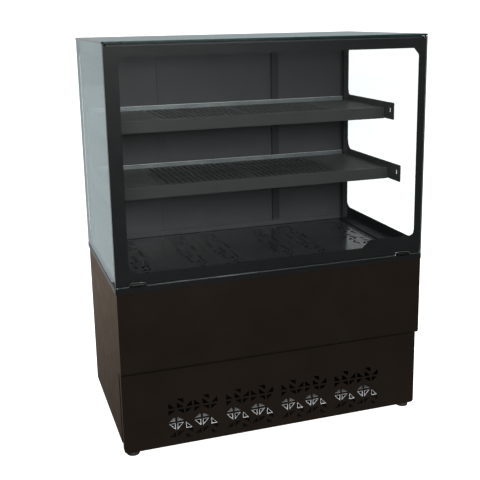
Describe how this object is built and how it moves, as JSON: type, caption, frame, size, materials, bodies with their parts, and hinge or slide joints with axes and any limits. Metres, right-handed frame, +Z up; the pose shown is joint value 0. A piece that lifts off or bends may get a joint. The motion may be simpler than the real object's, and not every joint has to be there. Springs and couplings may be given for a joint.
{
  "type": "hot food display case",
  "caption": "Floor-standing heated glass display case on a sheet-metal base, with slotted shelves, a tilting front glass and sliding rear doors.",
  "frame": {"origin": "on the floor, under the middle of the case", "axes": "+X to the right as seen by a customer, +Y from front to back, +Z up"},
  "size_m": [1, 0.566, 1.246],
  "materials": {
    "clear_glass": "clear tempered glass with a faint green edge",
    "black_enamel": "black enamel printed on the inside of the glass",
    "hinge_steel": "black plated steel",
    "black_rubber": "soft black",
    "dark_frame_paint": "satin dark grey powder coat",
    "diffuser_plastic": "milky diffuser",
    "door_panel": "smooth dark grey sheet",
    "shelf_paint": "satin dark grey powder coat",
    "bright_steel": "bright brushed stainless steel",
    "deck_paint": "semi-gloss dark grey",
    "base_paint": "semi-gloss brown-black powder coat",
    "frame_tube_paint": "black primer",
    "galvanised_steel": "galvanised sheet",
    "foot_plastic": "black moulded",
    "pan_steel": "plain stainless sheet",
    "element_steel": "heat-tinted steel tube",
    "control_plastic": "black moulded",
    "rocker_plastic": "red translucent",
    "pilot_plastic": "amber lens"
  },
  "bodies": {
    "case": {"top_glass": "clear_glass", "top_glass_border": "black_enamel", "side_glass_left": "clear_glass", "side_glass_right": "clear_glass", "side_glass_border_left": "black_enamel", "side_glass_border_right": "black_enamel", "glass_hinge_blocks": "hinge_steel", "front_seals": "black_rubber", "lamp_housing": "dark_frame_paint", "lamp_diffuser": "diffuser_plastic", "rear_track_upper": "dark_frame_paint", "rear_track_lower": "dark_frame_paint", "rear_end_channels": "dark_frame_paint", "shelf_upper": "shelf_paint", "shelf_middle": "shelf_paint", "shelf_rear_rails": "bright_steel", "shelf_brackets_upper": "shelf_paint", "shelf_brackets_middle": "shelf_paint", "rear_uprights": "shelf_paint", "deck_plate_left": "deck_paint", "deck_plate_centre": "deck_paint", "deck_plate_right": "deck_paint", "deck_edge_trims": "deck_paint", "base_trim": "base_paint", "base_frame": "frame_tube_paint", "side_panel_left": "base_paint", "side_panel_right": "base_paint", "fascia": "base_paint", "kick_panel": "base_paint", "vent_backing_strip": "galvanised_steel", "floor_pan": "frame_tube_paint", "back_panel": "base_paint", "back_panel_screws": "bright_steel", "heat_pan": "pan_steel", "heating_element": "element_steel", "fan_frame": "control_plastic", "control_box": "base_paint", "thermostat_body": "control_plastic", "switch_housings": "control_plastic", "pilot_lamp": "pilot_plastic", "power_inlet": "control_plastic"},
    "front_glass": {"front_glass": "clear_glass", "front_glass_border": "black_enamel", "glass_hinge_clips": "hinge_steel", "glass_hinge_pins": "hinge_steel"},
    "rear_door_left": {"rear_door_left": "door_panel", "rear_door_left_grips": "dark_frame_paint"},
    "rear_door_centre": {"rear_door_centre": "door_panel", "rear_door_centre_grips": "dark_frame_paint"},
    "rear_door_right": {"rear_door_right": "door_panel", "rear_door_right_grips": "dark_frame_paint"},
    "foot_front_left": {"foot_front_left": "foot_plastic"},
    "foot_front_right": {"foot_front_right": "foot_plastic"},
    "foot_rear_left": {"foot_rear_left": "foot_plastic"},
    "foot_rear_right": {"foot_rear_right": "foot_plastic"},
    "water_tray": {"water_tray": "pan_steel"},
    "thermostat_knob": {"thermostat_knob": "control_plastic"},
    "power_rocker": {"power_rocker": "rocker_plastic"},
    "lamp_rocker": {"lamp_rocker": "rocker_plastic"},
    "fan_blade": {"fan_blade": "control_plastic"}
  },
  "joints": [
    {"name": "front_glass_hinge", "type": "hinge", "parent": "case", "child": "front_glass", "pos_m": [0, -0.278, 0.551], "axis": [1, 0, 0], "range_deg": [0, 90]},
    {"name": "rear_door_left_slide", "type": "slide", "parent": "case", "child": "rear_door_left", "axis": [1, 0, 0], "range_m": [0, 0.2]},
    {"name": "rear_door_centre_slide", "type": "slide", "parent": "case", "child": "rear_door_centre", "axis": [1, 0, 0], "range_m": [-0.249, 0.249]},
    {"name": "rear_door_right_slide", "type": "slide", "parent": "case", "child": "rear_door_right", "axis": [1, 0, 0], "range_m": [-0.175, 0.025]},
    {"name": "water_tray_slide", "type": "slide", "parent": "case", "child": "water_tray", "axis": [0, 1, 0], "range_m": [0, 0.25]},
    {"name": "thermostat_knob_turn", "type": "hinge", "parent": "case", "child": "thermostat_knob", "pos_m": [0.345, 0.2525, 0.345], "axis": [0, 1, 0], "range_deg": [0, 270]},
    {"name": "power_rocker_tilt", "type": "hinge", "parent": "case", "child": "power_rocker", "pos_m": [0.265, 0.242, 0.345], "axis": [1, 0, 0], "range_deg": [0, 20]},
    {"name": "lamp_rocker_tilt", "type": "hinge", "parent": "case", "child": "lamp_rocker", "pos_m": [0.295, 0.242, 0.345], "axis": [1, 0, 0], "range_deg": [0, 20]},
    {"name": "fan_spin", "type": "hinge", "parent": "case", "child": "fan_blade", "pos_m": [0.06, 0.02, 0.428], "axis": [0, 0, 1], "continuous": true},
    {"name": "foot_front_left_screw", "type": "slide", "parent": "case", "child": "foot_front_left", "axis": [0, 0, 1], "range_m": [-0.015, 0]},
    {"name": "foot_rear_left_screw", "type": "slide", "parent": "case", "child": "foot_rear_left", "axis": [0, 0, 1], "range_m": [-0.015, 0]},
    {"name": "foot_front_right_screw", "type": "slide", "parent": "case", "child": "foot_front_right", "axis": [0, 0, 1], "range_m": [-0.015, 0]},
    {"name": "foot_rear_right_screw", "type": "slide", "parent": "case", "child": "foot_rear_right", "axis": [0, 0, 1], "range_m": [-0.015, 0]}
  ]
}
